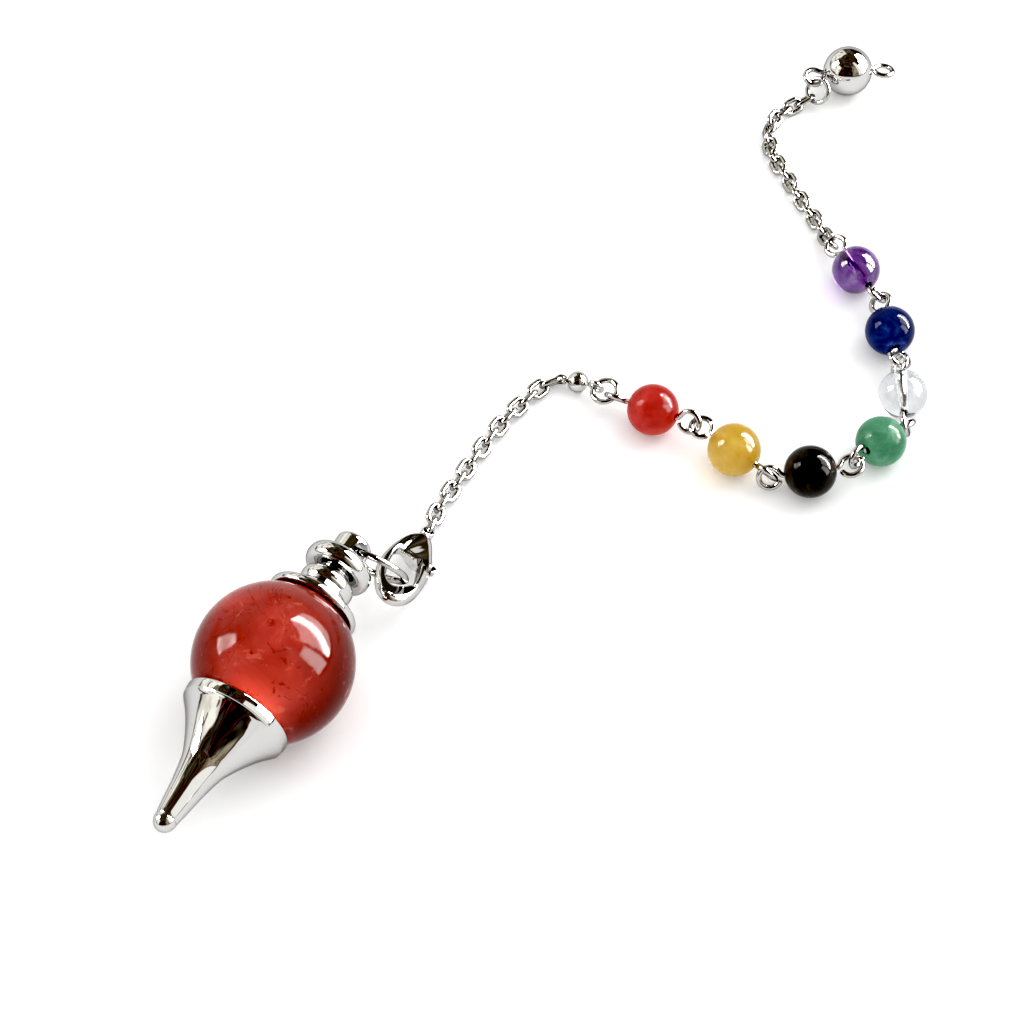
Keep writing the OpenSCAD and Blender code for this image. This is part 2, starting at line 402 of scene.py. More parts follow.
def stone(name, stops, scale=180.0, detail=5.0, distort=1.2, sss=0.8, radius=(1, 0.3, 0.2), depth=0.002,
          trans=0.0, rough=0.03, ior=1.54, specks=None, painted_light_zones=None, veins=None, centre=(0, 0, 0), gloss=0.05):
    """Polished stone: cloudy colour inside, a clear polish outside, faint surface unevenness."""
    m, t = material(name)
    b = principled(t)
    p = t.coords()
    n1, _ = t.noise(p, scale, detail, 0.55, distort)
    n2, _ = t.noise(p, scale * 3.7, 4.0, 0.6, 0.6)
    fac = t.math("ADD", t.math("MULTIPLY", n1, 0.8), t.math("MULTIPLY", n2, 0.2))
    col = t.ramp(t.step(fac, 0.3, 0.7), stops)
    if painted_light_zones:  # painted glow and painted shade laid on the stone along given directions: [direction, from, to in mm off the centre, colour, share]
        o = (Vector(centre) + SHIFT) * MM
        for d, lo, hi, c, share in painted_light_zones:
            lo, hi = lo * MM, hi * MM
            d = Vector(d).normalized()
            along = t.math("SUBTRACT", t.dot(p, d), o.dot(d))
            w = t.math("MULTIPLY", t.step(t.math("ADD", along, t.math("MULTIPLY", t.math("SUBTRACT", n1, 0.5), (hi - lo) * 0.8)), lo, hi), share)
            col = t.mix(w, col, c)
    if specks:  # [scale, from, to, colour, share]
        for s, lo, hi, c, share in specks:
            k, _ = t.noise(p, s, 6.0, 0.7, 2.0)
            col = t.mix(t.math("MULTIPLY", t.step(k, lo, hi), share), col, c)
    if veins:  # fine healed cracks: [scale, half width, colour, share]
        for s, half_w, c, share in veins:
            k, _ = t.noise(p, s, 3.0, 0.55, 1.6)
            where, _ = t.noise(p, s * 0.8, 2.0, 0.5)
            line = t.step(t.math("ABSOLUTE", t.math("SUBTRACT", k, 0.5)), 0.0, half_w, 1.0, 0.0)
            col = t.mix(t.math("MULTIPLY", t.math("MULTIPLY", line, t.step(where, 0.48, 0.62)), share), col, c)
    t.put(b.inputs["Base Color"], col)
    b.inputs["IOR"].default_value = ior
    b.inputs["Specular IOR Level"].default_value = gloss
    b.inputs["Subsurface Weight"].default_value = sss
    b.inputs["Subsurface Radius"].default_value = radius
    b.inputs["Subsurface Scale"].default_value = depth
    b.inputs["Transmission Weight"].default_value = trans
    fine, _ = t.noise(p, 5000.0, 3.0, 0.6)
    t.put(b.inputs["Roughness"], t.math("ADD", t.math("MULTIPLY", fine, rough), rough * 0.4))
    t.put(b.inputs["Normal"], t.bump(n2, 0.05, 0.00003))
    return m


# ---------------------------------------------------------------- materials
plated = chrome("plated", (0.60, 0.597, 0.59), (0.010, 0.035), 0.06, 330.0, 0.12)
plated_clasp = chrome("plated_clasp", (0.60, 0.595, 0.585), (0.02, 0.06), 0.10, 600.0, 0.2, 0.25)
wire_metal = chrome("wire_plated", (0.49, 0.48, 0.465), (0.015, 0.05), 0.10, 900.0, 0.25, 0.0)
chain_metal = chrome("chain_plated", (0.43, 0.42, 0.40), (0.015, 0.05), 0.14, 1400.0, 0.3, 0.0)

CONE_WAY = (-0.4715, -0.879, -0.066)  # from the ball's middle to the cone's tip
mat_ball = stone("ball_stone", [(0.0, (0.33, 0.050, 0.041)), (0.45, (0.41, 0.060, 0.049)), (0.75, (0.47, 0.072, 0.058)), (1.0, (0.58, 0.098, 0.076))],
                 scale=120.0, sss=0.6, radius=(1.0, 0.12, 0.09), depth=0.0018, trans=0.08, rough=0.012, centre=(-25.4, -27.5, 8.8),
                 # painted glow: light gathered through the stone, laid on as lighter orange-red towards the cone's
                 # collar
                 painted_light_zones=[((-0.169, -0.879, 0.438), 6.2, 8.6, (0.66, 0.095, 0.072), 0.40),
                       ((-0.20, -0.90, 0.38), 7.8, 8.8, (0.86, 0.130, 0.095), 0.70),
                       # painted shade: darker towards the cap, underneath and at the left, right and lower sides, where
                       # less light falls
                       (tuple(-c for c in CONE_WAY), 0.5, 6.0, (0.24, 0.050, 0.041), 0.70),
                       ((0.0, 0.55, -0.84), -3.4, 1.5, (0.15, 0.028, 0.022), 0.75),
                       ((1.0, -0.15, -0.20), 3.2, 7.6, (0.12, 0.024, 0.019), 0.82),
                       ((0.45, -0.45, -0.75), 1.3, 5.6, (0.12, 0.020, 0.016), 0.85),
                       ((-1.0, 0.0, -0.10), 3.0, 7.8, (0.15, 0.026, 0.020), 0.78)],
                 specks=[(420.0, 0.58, 0.66, (0.16, 0.018, 0.015), 0.60), (260.0, 0.56, 0.68, (0.80, 0.19, 0.14), 0.50), (1300.0, 0.66, 0.72, (0.95, 0.38, 0.28), 0.4)],
                 veins=[(110.0, 0.012, (0.16, 0.017, 0.013), 0.55)])
mat_red = stone("red_stone", [(0.0, (0.42, 0.048, 0.042)), (0.5, (0.50, 0.060, 0.052)), (1.0, (0.59, 0.080, 0.070))],
                scale=260.0, sss=0.5, radius=(1.0, 0.10, 0.08), depth=0.0012, trans=0.08, gloss=0.03)
mat_yellow = stone("yellow_stone", [(0.0, (0.60, 0.36, 0.055)), (0.5, (0.69, 0.455, 0.088)), (1.0, (0.80, 0.58, 0.16))],
                   scale=170.0, distort=0.5, sss=0.5, radius=(1.0, 0.7, 0.15), depth=0.0020, trans=0.40, gloss=0.025,
                   specks=[(700.0, 0.60, 0.75, (0.52, 0.31, 0.05), 0.35)])
mat_black = stone("black_stone", [(0.0, (0.026, 0.025, 0.024)), (0.7, (0.036, 0.034, 0.032)), (1.0, (0.070, 0.056, 0.046))],
                  scale=200.0, sss=0.0, trans=0.0, rough=0.02)
mat_green = stone("green_stone", [(0.0, (0.080, 0.225, 0.125)), (0.5, (0.112, 0.305, 0.180)), (1.0, (0.18, 0.41, 0.260))],
                  scale=260.0, sss=0.5, radius=(0.5, 1.0, 0.7), depth=0.0015, trans=0.08, gloss=0.03,
                  specks=[(900.0, 0.56, 0.68, (0.28, 0.48, 0.36), 0.30)])
mat_blue = stone("blue_stone", [(0.0, (0.024, 0.027, 0.070)), (0.55, (0.030, 0.038, 0.115)), (0.85, (0.038, 0.054, 0.19)), (1.0, (0.06, 0.09, 0.28))],
                 scale=300.0, sss=0.1, radius=(0.2, 0.3, 1.0), depth=0.0006, rough=0.03,
                 specks=[(1500.0, 0.66, 0.72, (0.12, 0.15, 0.30), 0.6)])


def quartz(name, stops, scale, rough=0.005, veil=0.0, veil_col=(0.9, 0.92, 0.95), sss_depth=0.003):
    """Clear stone: seen through, with colour zones and faint veils."""
    m, t = material(name)
    b = principled(t)
    p = t.coords()
    n1, _ = t.noise(p, scale, 4.0, 0.55, 1.5)
    n2, _ = t.noise(p, scale * 3.0, 4.0, 0.6, 0.6)
    t.put(b.inputs["Base Color"], t.ramp(t.step(n1, 0.3, 0.7), stops))
    b.inputs["IOR"].default_value = 1.54
    b.inputs["Specular IOR Level"].default_value = 0.05
    v = t.math("MULTIPLY", t.step(n2, 0.5, 0.75), veil)
    t.put(b.inputs["Transmission Weight"], t.math("SUBTRACT", 1.0 - veil * 0.3, v))
    t.put(b.inputs["Roughness"], t.math("ADD", rough, t.math("MULTIPLY", n2, rough)))
    b.inputs["Subsurface Weight"].default_value = 0.5
    b.inputs["Subsurface Radius"].default_value = (1, 1, 1)
    b.inputs["Subsurface Scale"].default_value = sss_depth
    t.put(b.inputs["Normal"], t.bump(n2, 0.04, 0.00002))
    return m


mat_clear = quartz("clear_quartz", [(0.0, (0.77, 0.79, 0.81)), (1.0, (0.88, 0.89, 0.905))], 200.0, 0.004, 0.08)
mat_purple = quartz("purple_quartz", [(0.0, (0.105, 0.034, 0.190)), (0.5, (0.145, 0.055, 0.250)), (0.82, (0.23, 0.115, 0.35)), (1.0, (0.46, 0.34, 0.56))], 210.0, 0.006, 0.5)


def finish_piece(o, mat, nodes, body="pendulum"):
    o.data.materials.clear()
    o.data.materials.append(mat)
    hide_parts(*nodes)
    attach(o, body)
    return o


# ---------------------------------------------------------------- the pendant
BALL_C, BALL_R = (-25.4, -27.5, 8.8), 8.7996
AXIS = place(BALL_C, (0, 93.8, 241.8))
SEAT = BALL_R + 0.05


def seat(r0, r1, n):
    return [(math.sqrt(SEAT ** 2 - r * r), r) for r in np.linspace(r0, r1, n)]


half = [(-BALL_R * math.cos(a), BALL_R * math.sin(a)) for a in np.linspace(0, math.pi, 97)]
half[0], half[-1] = (-BALL_R, 0.0), (BALL_R, 0.0)
v, f = lathe(half, 160)
finish_piece(obj_from("ball", v, f, AXIS), mat_ball, ["stone_ball"])

cone_runs = [
    seat(0.0, 5.33, 14),
    [(math.sqrt(SEAT ** 2 - 5.33 ** 2), 5.33), (7.05, 5.40), (7.05, 5.88)],
    [(7.05, 5.88), (7.25, 6.14)],
    [(7.25, 6.14), (7.55, 6.13), (7.9, 6.08), (8.33, 6.01)],
    [(8.33, 6.01), (8.40, 5.90)],
    spline([(8.40, 5.90), (8.48, 5.87), (8.70, 5.72), (8.95, 5.50), (9.6, 4.98), (10.4, 4.42), (11.6, 3.68), (13.0, 2.95), (14.3, 2.42),
            (16.7, 1.90), (19.1, 1.55), (20.6, 1.31), (20.9, 1.20)], 8),
    [(20.9, 1.20), (20.98, 1.25)],
    [(21.0 + 1.4 * math.sin(a), 1.26 * math.cos(a)) for a in np.linspace(0, math.pi / 2, 22)],
]
cone_runs[6][-1] = cone_runs[7][0]
cone_runs[7][-1] = (22.4, 0.0)
v, f = lathe(outline(cone_runs, [0.02, 0.05, 0.07, 0.04, 0.03, 0.03, 0.02]), 160)
finish_piece(obj_from("cone", v, f, AXIS, 38), plated, ["point_cone"])

cap_runs = [
    seat(0.0, 4.60, 12),
    [(math.sqrt(SEAT ** 2 - 4.6 ** 2), 4.60), (7.555, 4.66), (7.555, 5.02)],
    spline([(7.555, 5.02), (7.66, 5.19), (7.85, 5.28), (8.05, 5.30), (8.38, 5.22), (8.60, 5.01), (8.69, 4.72)], 6),
    [(8.69, 4.72), (8.71, 4.0), (8.72, 3.18)],
    spline([(8.72, 3.18), (8.80, 3.02), (8.95, 2.97)], 4),
    [(8.95, 2.97), (9.4, 2.97), (9.85, 2.95)],
    spline([(9.85, 2.95), (9.98, 2.87), (10.1, 2.79), (10.22, 2.85), (10.4, 2.97), (10.7, 3.09), (11.05, 3.135), (11.4, 3.09), (11.75, 2.90), (11.98, 2.55), (12.06, 2.2)], 6),
    [(12.06, 2.2), (12.10, 1.80)],
    [(12.10, 1.80), (12.28, 1.75), (12.46, 1.77)],
    [(12.46, 1.77), (12.50, 3.15)],
    spline([(12.50, 3.15), (12.62, 3.50), (12.98, 3.79), (13.6, 3.92), (14.2, 3.79), (14.58, 3.53), (14.76, 3.20), (14.82, 2.9)], 7),
    [(14.82, 2.9), (14.86, 1.90)],
    [(14.86, 1.90), (15.0, 1.865), (15.12, 1.88)],
    spline([(15.12, 1.88), (15.20, 1.98), (15.38, 2.06), (15.8, 2.07), (16.6, 2.07), (17.0, 2.06), (17.27, 1.96), (17.55, 1.62), (17.75, 1.1), (17.87, 0.5), (17.9, 0.0)], 6),
]
v, f = lathe(outline(cap_runs, [0.02, 0.05, 0.05, 0.08, 0.03, 0.05, 0.05, 0.06, 0.06, 0.05, 0.06, 0.06, 0.04]), 144, flip=-1)
cap = obj_from("cap", v, f, AXIS, 38)
hole_m = AXIS @ Matrix.Translation(Vector((0, 0.05, -16.25)) * MM) @ turn(0, 81.6, 126.7)
v, f = lathe([(-4, 0), (-4, 1.0), (4, 1.0), (4, 0)], 64)
bool_op(cap, [obj_from("tool", v, f, hole_m)], sharp=38)
finish_piece(cap, plated, ["top_cap"])

v, f = ring_wire(3.84, 0.76, 0.05, 200, 140, 24)
finish_piece(obj_from("hang_ring_wire", v, f, place((-15.3, -13.3, 7.2), (-68.3, 15.5, -19.5)), 40), wire_metal, ["hang_ring"])

# ---------------------------------------------------------------- the clasp
CLASP = place((-9.79, -4.27, 1.3), (-20.9, -16.9, -108.7))
# outer x, outer y, inner x, inner y, half thickness
clasp_rows = [(0.35, 0.00, 5.35, -1.35, 0.60), (0.95, 0.72, 5.42, -1.05, 0.66), (1.90, 1.32, 5.50, -0.72, 0.80), (3.40, 1.90, 5.68, -0.28, 0.96),
              (5.30, 2.55, 6.02, 0.48, 1.05), (7.20, 2.86, 6.82, 1.32, 1.03), (9.30, 2.86, 8.60, 1.58, 0.98), (11.70, 2.36, 10.10, 1.28, 0.92),
              (13.20, 1.35, 11.00, 0.40, 0.82), (13.65, -0.05, 11.35, -0.40, 0.76), (12.90, -1.40, 10.85, -1.20, 0.72), (11.00, -2.45, 9.80, -1.62, 0.70),
              (8.60, -2.98, 8.20, -1.95, 0.70), (6.20, -2.85, 6.50, -2.02, 0.75), (4.00, -2.35, 5.60, -1.92, 0.84), (2.00, -1.55, 5.42, -1.76, 0.78),
              (0.95, -0.78, 5.36, -1.58, 0.66)]


def section(w, h, rim=0.66, lip=0.42, q=1.55, dome=0.03):
    """[distance from the opening, height] round one cross section: broad soft bevels, slightly crowned faces."""
    rim, lip = min(rim, w * 0.44), min(lip, w * 0.30)
    top = []
    for k in range(9):
        a = math.pi / 2 * (k + 0.5) / 9
        top.append((w - rim * (1 - math.cos(a) ** (2 / q)), h * (0.30 + 0.70 * math.sin(a) ** (2 / q))))
    for k in range(5):
        top.append((w - rim - (w - rim - lip) * (k + 0.5) / 5, h))
    for k in range(9):
        a = math.pi / 2 * (1 - (k + 0.5) / 9)
        top.append((lip * (1 - math.cos(a) ** (2 / q)), h * (0.45 + 0.55 * math.sin(a) ** (2 / q))))
    top = [(s, z * (1 - dome * (2 * s / w - 1) ** 2)) for s, z in top]
    return top + [(s, -z) for s, z in reversed(top)]


rows = spline(clasp_rows, 9, True)
v, f = [], []
for q in rows:
    out_p, in_p, h = q[:2], q[2:4], q[4]
    w = np.linalg.norm(out_p - in_p)
    d = (out_p - in_p) / w
    for s, z in section(w, h):
        v.append((in_p[0] + d[0] * s, in_p[1] + d[1] * s, z))
m, sides = len(rows), len(v) // len(rows)
for i in range(m):
    j = (i + 1) % m
    for k in range(sides):
        k2 = (k + 1) % sides
        f.append([i * sides + k, i * sides + k2, j * sides + k2, j * sides + k])
clasp = obj_from("clasp", v, f, CLASP)
eye = [(0.55 * math.sin(a), 0.63 + 0.17 * math.cos(a)) for a in np.linspace(-math.pi / 2, math.pi / 2, 13)] + [(0.55, 0.46), (-0.55, 0.46)]
eye = [(math.copysign(min(abs(h), 0.55), h), r) for h, r in eye]
v, f = lathe(eye, 64, True)
tail = obj_from("tool", v, f, CLASP)
bool_op(clasp, [tail], "UNION", own=True)
v, f = lathe([(-3, 0), (-3, 0.46), (3, 0.46), (3, 0)], 48)
hole = obj_from("tool", v, f, CLASP)
slot_tool = box_tool("tool", (4.4, 1.25, -0.55), (8.4, 4.9, 0.55), CLASP)
PIVOT = np.array([5.5, 2.1])


def arc(r, a0, a1, n=12):
    return [(PIVOT[0] + r * math.cos(a), PIVOT[1] + r * math.sin(a)) for a in np.radians(np.linspace(a0, a1, n))]


# the gap the gate closes; the body's ear ends round about the rivet
v, f = prism([(10.3, 0.3), (10.3, 4.3), (6.33, 4.3)] + arc(0.90, 23, -85) + [(5.86, 0.3)], -2, 2)
gap_tool = obj_from("tool", v, f, CLASP)
for tool in (hole, slot_tool, gap_tool):
    bool_op(clasp, [tool])
rivet = lathe([(-0.99, 0), (-0.985, 0.15), (-0.965, 0.29), (-0.93, 0.37), (-0.88, 0.40), (0.88, 0.40), (0.93, 0.37), (0.965, 0.29), (0.985, 0.15), (0.99, 0)], 40)
rivet = (rivet[0] + np.array([5.5, 2.1, 0]), rivet[1])
bool_op(clasp, [obj_from("tool", rivet[0], rivet[1], CLASP)], "UNION", 32)
finish_piece(clasp, plated_clasp, ["clasp_body"])

# the sprung gate: tongue on the rivet, thumb knob, bar that closes the opening
tongue = spline([(7.1, 1.60), (6.5, 1.56), (5.9, 1.50), (5.4, 1.46), (4.98, 1.66), (4.80, 2.05), (4.84, 2.50), (4.86, 2.80), (5.00, 3.03), (5.26, 3.12),
                 (5.52, 3.04), (5.76, 2.86), (6.2, 2.76), (7.1, 2.74)], 6)
v, f = prism([(p[0], p[1]) for p in tongue], -0.45, 0.45)
lever = obj_from("lever", v, f, CLASP)
bevelled(lever, 0.20, 4)
# the bar's section: [share of the width from the inner side, height], crown near the inner side, falling away to the outside
bar_top = spline([(0.0, 0.40), (0.03, 0.64), (0.11, 0.82), (0.23, 0.90), (0.36, 0.89), (0.50, 0.80), (0.66, 0.65), (0.82, 0.47), (0.94, 0.28), (1.0, 0.08)], 3)
bar_round = [(u, z) for u, z in bar_top] + [(u, -z) for u, z in reversed(bar_top)]
# stations along it: x, y of the inner side, y of the outer side, thickness
bar_rows = [(x, 1.30 + 0.42 * math.sin((x - 6.4) / 3.22 * math.pi / 2), 2.80 + 0.03 * math.sin((x - 6.4) / 3.22 * math.pi), 1.0) for x in np.linspace(6.4, 9.62, 14)]
bar_rows += [(9.62 + 0.53 * math.sin(a), 2.26 - 0.54 * math.cos(a), 2.26 + 0.54 * math.cos(a), math.cos(a) ** 0.6) for a in np.radians([12, 24, 36, 48, 60, 71, 81])]
v, f = [], []
for i, (x, y0, y1, thick) in enumerate(bar_rows):
    for u, z in bar_round:
        y = y0 + (y1 - y0) * u
        v.append((x if i else PIVOT[0] + math.sqrt(0.99 ** 2 - (y - PIVOT[1]) ** 2), y, z * thick))
sides = len(bar_round)
for i in range(len(bar_rows) - 1):
    for k in range(sides):
        k2 = (k + 1) % sides
        f.append([i * sides + k2, i * sides + k, (i + 1) * sides + k, (i + 1) * sides + k2])
f.append(list(range(sides)))
f.append([len(v) - 1 - k for k in range(sides)])
v = np.array(v)
if volume(v, f) < 0:
    f = [q[::-1] for q in f]
bar_o = obj_from("tool", v, f, CLASP)
bool_op(lever, [bar_o], "UNION", 32)
v, f = lathe([(-3, 0), (-3, 0.43), (3, 0.43), (3, 0)], 40)
v = v + np.array([5.5, 2.1, 0])
bool_op(lever, [obj_from("tool", v, f, CLASP)], sharp=32)
finish_piece(lever, plated_clasp, ["clasp_lever"], "clasp_lever")


# ---------------------------------------------------------------- chains
def path_length(p):
    return float(np.sum(np.linalg.norm(np.diff(p, axis=0), axis=1)))


def at(p, s):
    acc = 0.0
    for a, b in zip(p, p[1:]):
        d = np.linalg.norm(b - a)
        if acc + d >= s:
            return a + (b - a) * (s - acc) / d
        acc += d
    return p[-1]


LINK_L, LINK_W, LINK_D = 1.27, 0.80, 0.62  # half length and half width of the centreline, wire


def link_path(n=14):
    r, s = LINK_W, LINK_L - LINK_W
    p = [(s + r * math.cos(a), r * math.sin(a), 0) for a in np.linspace(-math.pi / 2, math.pi / 2, n, endpoint=False)]
    p += [(x, r, 0) for x in np.linspace(s, -s, 4, endpoint=False)]
    p += [(-s + r * math.cos(a), r * math.sin(a), 0) for a in np.linspace(math.pi / 2, 3 * math.pi / 2, n, endpoint=False)]
    p += [(x, -r, 0) for x in np.linspace(-s, s, 4, endpoint=False)]
    return p


def chain(name, route, lean, first, node):
    """Cable chain: oval links, each turned a quarter from the last, strung evenly along the route."""
    p = np.array(spline([np.array(q, float) for q in route], 16))
    total = path_length(p)
    n = int(round((total - 2 * LINK_L) / (2 * LINK_L - LINK_D - 0.03))) + 1
    step = (total - 2 * LINK_L) / (n - 1)
    shape_v, shape_f = wire(link_path(), LINK_D / 2, 12, True)
    parts = []
    rng = random.Random(3)
    for i in range(n):
        s = LINK_L + step * i
        c = at(p, s)
        t = at(p, min(total, s + 0.9)) - at(p, max(0.0, s - 0.9))
        t /= np.linalg.norm(t)
        side = np.cross([0, 0, 1.0], t)
        side /= np.linalg.norm(side)
        up = np.cross(t, side)
        roll = math.radians(lean + rng.uniform(-7, 7) + (90 if (i + first) % 2 else 0))
        y = side * math.cos(roll) + up * math.sin(roll)
        z = np.cross(t, y)
        m3 = np.stack([t, y, z], 1)
        parts.append((shape_v @ m3.T + c, shape_f))
    print("TT", name, "links", n, "pitch %.3f" % step, "length %.1f" % total)
    v, f = join_shells(parts)
    return finish_piece(obj_from(name, v, f, place((0, 0, 0))), chain_metal, [node])


chain("links_lower", [(-9.79, -4.27, 1.3), (-9.35, -2.9, 1.15), (-8.3, 0.1, 1.1), (-6.35, 3.7, 1.1), (-4.6, 7.0, 1.1), (-2.8, 10.1, 1.1), (-0.7, 13.5, 1.1),
                      (1.6, 16.3, 1.1), (3.0, 17.9, 1.12), (4.3, 18.95, 1.15), (5.95, 19.59, 1.2)], 28, 1, "chain_lower")
chain("links_upper", [(40.58, 70.39, 1.77), (39.4, 69.9, 1.25), (38.0, 69.15, 1.0), (36.9, 68.4, 0.98), (35.7, 67.2, 0.98), (34.6, 65.1, 0.98), (34.2, 62.9, 0.98),
                      (34.3, 60.9, 0.98), (34.9, 58.3, 0.98), (36.1, 55.2, 0.98), (37.2, 52.1, 0.98), (38.3, 49.3, 0.98), (39.3, 46.8, 1.05), (40.0, 44.4, 1.3),
                      (40.50, 42.3, 2.0), (40.74, 41.17, 2.65)], 42, 0, "chain_upper")

# ---------------------------------------------------------------- small bead, rings
STOP = place((8.0, 19.15, 1.3))


def eye_wire(start, neck, reach, r, d, t, psi=0.0):
    """A wire that runs out along X and closes in a ring."""
    p = [(start + (neck - 0.25 - start) * k / 4, 0, 0) for k in range(5)]
    for a in np.linspace(0.35, 2 * math.pi - 0.25, 44):
        p.append((reach - r * math.cos(a), r * math.sin(a), 0))
    v, f = wire(p, d / 2, 16, False, 0.15)
    rot = np.array((turn(*t)).to_3x3()) @ np.array(turn(psi, 0, 0).to_3x3())
    return v @ rot.T, f


half = [(-1.28 * math.cos(a), 1.28 * math.sin(a)) for a in np.linspace(0, math.pi, 49)]
half[0], half[-1] = (-1.28, 0.0), (1.28, 0.0)
v, f = lathe(half, 64)
small = obj_from("small_bead", v, f, STOP)
tools = []
for w in (eye_wire(0.4, 1.88, 2.70, 0.82, 0.52, (0, -17, -34), -77), eye_wire(0.4, 1.50, 2.10, 0.60, 0.52, (0, 4, 168))):
    tools.append(obj_from("tool", w[0], w[1], STOP))
bool_op(small, tools, "UNION", 40)
finish_piece(small, plated, ["stop_bead"])

v, f = ring_wire(1.52, 0.64, 0.05, 115, 90, 18)
finish_piece(obj_from("link_ring_wire", v, f, place((11.2, 16.7, 2.4), (8.6, -15.4, 0)), 40), wire_metal, ["link_ring"])
v, f = ring_wire(1.6, 0.6, 0.05, 20, 90, 18)
finish_piece(obj_from("end_ring_wire", v, f, place((41.2, 70.45, 2.6), (38.4, -50.6, 0)), 40), wire_metal, ["end_ring"])

# ---------------------------------------------------------------- beads and eye pins
BORE, PIN, EYE_R, EYE_TURN = 0.9, 0.66, 1.27, 335
# x, y, yaw, pitch, turn of the first and the second eye, diameter, name, material, slot
bead_rows = [(16.80, 13.10, -28, 5, 52, -63, 6.2, "red", mat_red, "red_stone"),
             (26.10, 6.85, -41, -4, -11, 60, 6.3, "yellow", mat_yellow, "yellow_stone"),
             (34.80, 3.55, 1, 12, -61, -10, 6.2, "black", mat_black, "black_stone"),
             (43.50, 8.25, 46, -14, -80, 51, 6.0, "green", mat_green, "green_stone"),
             (46.85, 15.75, 88, 1, -70, 61, 5.9, "clear", mat_clear, "clear_quartz"),
             (46.35, 26.00, 98, -1, -26, 37, 6.1, "blue", mat_blue, "blue_stone"),
             (43.15, 36.45, 117, 0, -43, 32, 6.0, "purple", mat_purple, "purple_quartz")]


def drilled(d, bore, seg=112, rows=72):
    """A drilled ball, its bore along X, the bore's edges broken."""
    r, b = d / 2, bore / 2
    a0 = math.asin((b + 0.10) / r)
    p = [(-r * math.cos(a), r * math.sin(a)) for a in np.linspace(a0, math.pi - a0, rows)]
    edge = math.sqrt(r * r - (b + 0.10) ** 2)
    p += [(edge - 0.03, b + 0.05), (edge - 0.10, b + 0.012), (edge - 0.22, b)]
    p += [(h, b) for h in np.linspace(edge - 0.5, -edge + 0.5, 8)]
    p += [(-edge + 0.22, b), (-edge + 0.10, b + 0.012), (-edge + 0.03, b + 0.05)]
    v, f = lathe(p, seg, True)
    return v[:, [2, 0, 1]], f


def pin_path(d, r, turns, off=0.0):
    """Straight through the bore, then a close bend into an eye at each end."""
    reach = d / 2 + 0.08 + PIN / 2 + r
    a0 = math.asin(off / r)
    neck = reach - math.sqrt(r * r - off * off)

    def end(psi, side):
        a2 = a0 + 0.42
        p2 = np.array([reach - r * math.cos(a2), -off + r * math.sin(a2)])
        tan = np.array([r * math.sin(a2), r * math.cos(a2)])
        tan /= np.linalg.norm(tan)
        p1 = np.array([p2[0] - tan[0] * p2[1] / tan[1], 0.0])
        p0 = np.array([p1[0] - 0.55, 0.0])
        q = [(1 - t) ** 2 * p0 + 2 * t * (1 - t) * p1 + t * t * p2 for t in np.linspace(0, 1, 9)]
        for a in np.linspace(a2, a0 + math.radians(EYE_TURN), 60)[1:]:
            q.append(np.array([reach - r * math.cos(a), -off + r * math.sin(a)]))
        c, s = math.cos(math.radians(-psi)), math.sin(math.radians(-psi))
        return [(side * x, y * c, y * s) for x, y in q]

    first, second = end(turns[0], -1), end(turns[1], 1)
    x0, x1 = first[0][0], second[0][0]
    return first[::-1] + [(x0 + (x1 - x0) * k / 12, 0, 0) for k in range(1, 12)] + second


for x, y, yaw, pitch, e1, e2, d, name, mat, slot in bead_rows:
    at_bead = place((x, y, d / 2), (0, -pitch, yaw))
    v, f = drilled(d, BORE)
    finish_piece(obj_from("stone_" + name, v, f, at_bead, 50), mat, ["bead_" + name])
    v, f = wire(pin_path(d, EYE_R, (e1, e2)), PIN / 2, 18, False, 0.2)
    finish_piece(obj_from("eye_pin_" + name, v, f, at_bead, 45), wire_metal, ["pin_" + name])

END = place((45.42, 73.64, 3.3), (0, 5, 12))
v, f = drilled(6.59, BORE, 144, 96)
finish_piece(obj_from("metal_ball", v, f, END, 50), plated, ["end_ball"])
v, f = wire(pin_path(6.6, 1.215, (-15, 7), 0.60), PIN / 2, 18, False, 0.2)
finish_piece(obj_from("eye_pin_end", v, f, END, 45), wire_metal, ["end_pin"])

# ---------------------------------------------------------------- the studio
v, f = [], []
bpy.ops.mesh.primitive_plane_add(size=6.0, location=(0, 0, 0))
floor = bpy.context.object
floor.name = "floor"
m, t = material("floor")
b = principled(t)
b.inputs["Base Color"].default_value = (0.88, 0.88, 0.88, 1)
b.inputs["Roughness"].default_value = 1.0
b.inputs["Specular IOR Level"].default_value = 0.0
b.inputs["Emission Color"].default_value = (1, 1, 1, 1)
b.inputs["Emission Strength"].default_value = 0.15
floor.data.materials.append(m)

world = bpy.data.worlds.new("studio")
bpy.context.scene.world = world
world.use_nodes = True
t = Tree(world.node_tree)
d = t.coords("Generated")
sep = t.new("ShaderNodeSeparateXYZ")
t.put(sep.inputs[0], d)
dx, dy, dz = sep.outputs[0], sep.outputs[1], sep.outputs[2]
az = t.math("DEGREES", t.math("ARCTAN2", dx, dy))  # from +Y towards +X
el = t.math("DEGREES", t.math("ARCSINE", dz))


def window(a0, a1, e0, e1, soft=1.2):
    """1 inside the given span of azimuth and elevation, 0 outside, edges soft."""
    w = t.math("MULTIPLY", t.step(az, a0 - soft, a0 + soft), t.step(az, a1 - soft, a1 + soft, 1.0, 0.0))
    h = t.math("MULTIPLY", t.step(el, e0 - soft, e0 + soft), t.step(el, e1 - soft, e1 + soft, 1.0, 0.0))
    return t.math("MULTIPLY", w, h)


